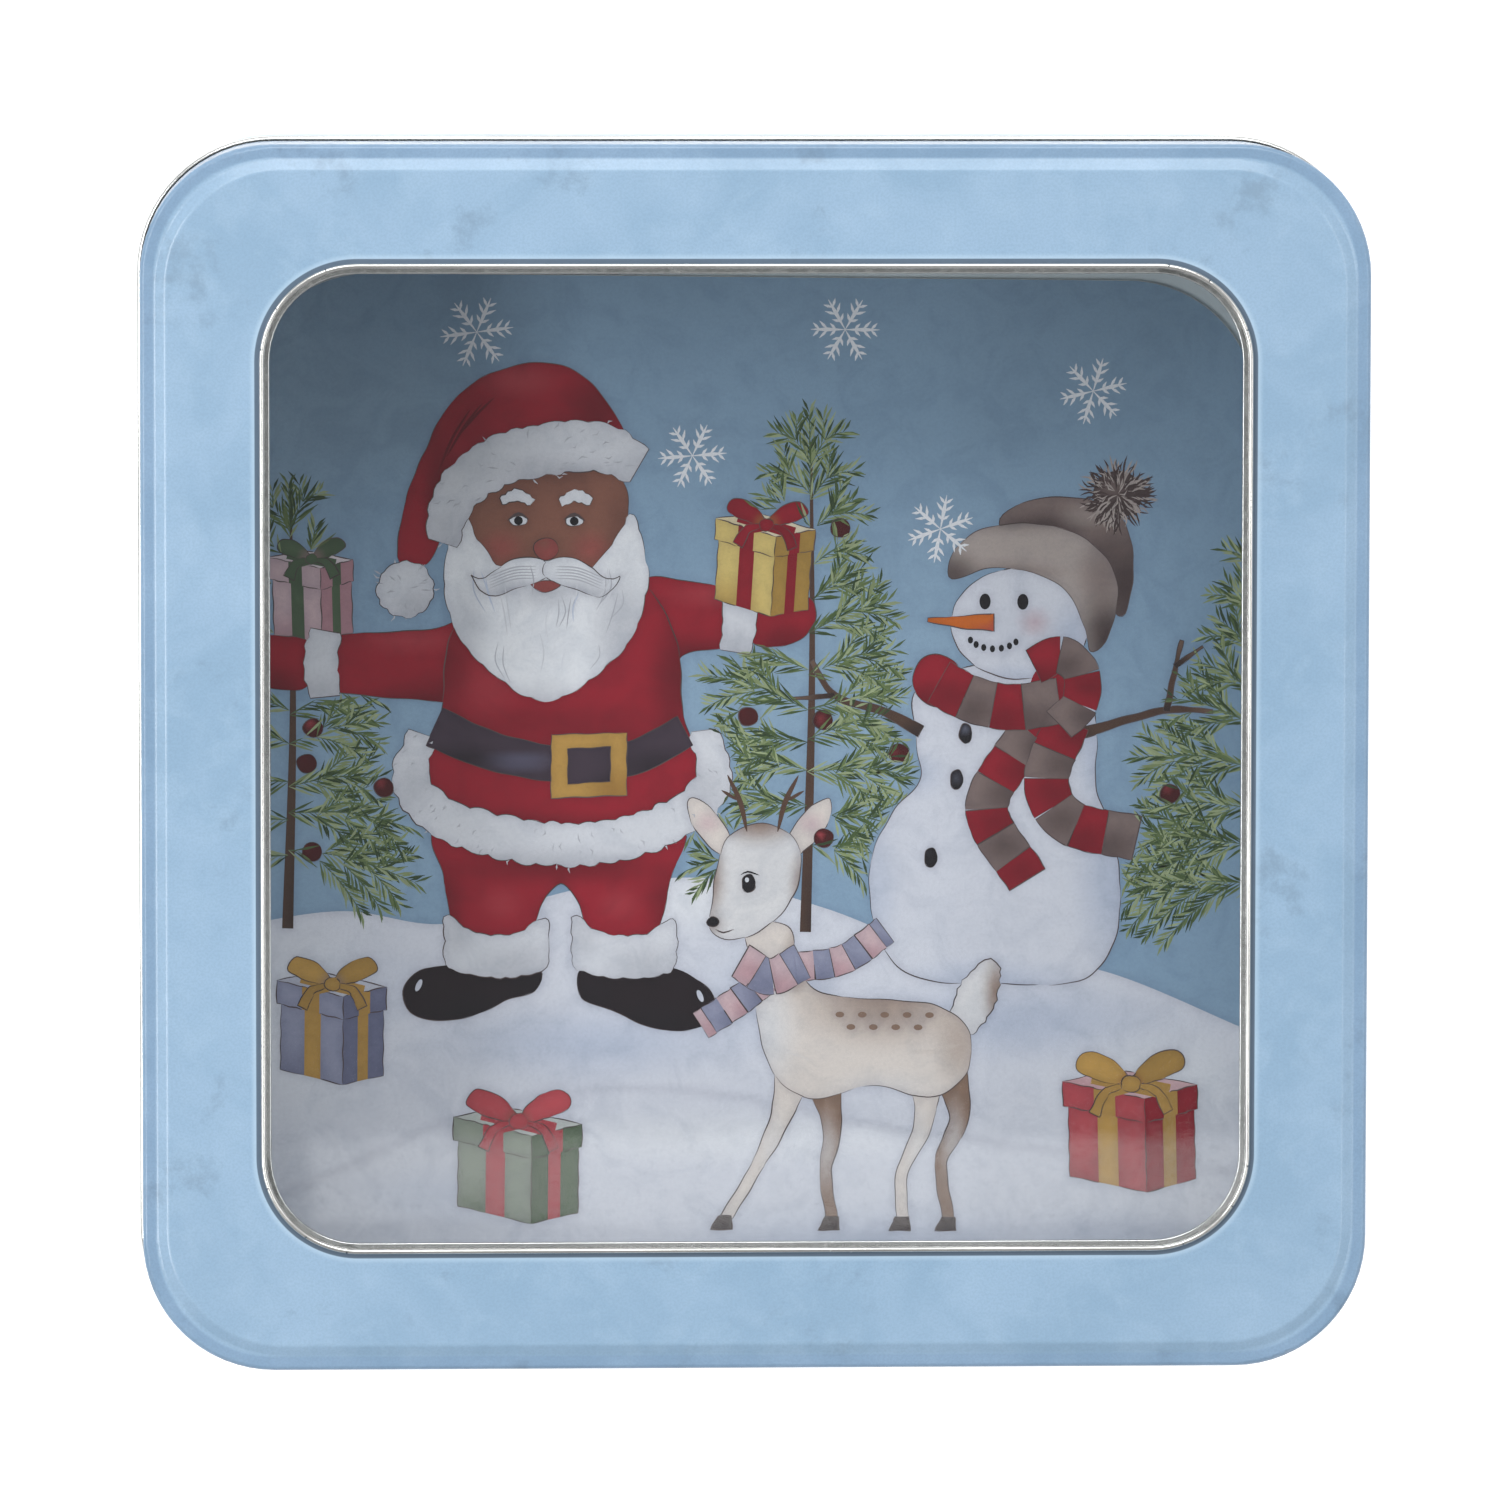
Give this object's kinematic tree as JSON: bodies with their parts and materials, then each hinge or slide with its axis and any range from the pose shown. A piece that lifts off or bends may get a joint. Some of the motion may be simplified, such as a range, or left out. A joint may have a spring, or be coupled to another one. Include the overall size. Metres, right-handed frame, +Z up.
{
  "type": "cookie tin",
  "caption": "Square metal tin with rounded corners, a slip lid with a clear window in a rolled ring, a seamed bottom and a loose picture card inside.",
  "frame": {"origin": "on the surface the tin stands on, under the middle of its square footprint", "axes": "+Z up through the lid, +Y towards the top of the picture, so -Y is the front when the tin stands on a table, +X to the right"},
  "size_m": [0.2016, 0.2016, 0.07],
  "materials": {
    "lid_print": "satin varnished print on tinplate, pale blue",
    "ring_tinplate": "bare rolled tinplate",
    "clear_pane": "clear plastic sheet, glossy",
    "card_print": "matt print of a winter scene",
    "body_print": "satin varnished print on tinplate, pale blue",
    "bottom_tinplate": "bare tinplate"
  },
  "bodies": {
    "tin": {"tin_body": "body_print", "tin_bottom": "bottom_tinplate"},
    "lid_assembly": {"lid": "lid_print", "window_ring": "ring_tinplate", "window_pane": "clear_pane"},
    "card": {"picture_card": "card_print"}
  },
  "joints": [
    {"name": "lid_lift", "type": "slide", "parent": "tin", "child": "lid_assembly", "axis": [0, 0, 1], "range_m": [0, 0.1]},
    {"name": "card_lift", "type": "slide", "parent": "tin", "child": "card", "axis": [0, 0, 1], "range_m": [0, 0.06]}
  ]
}
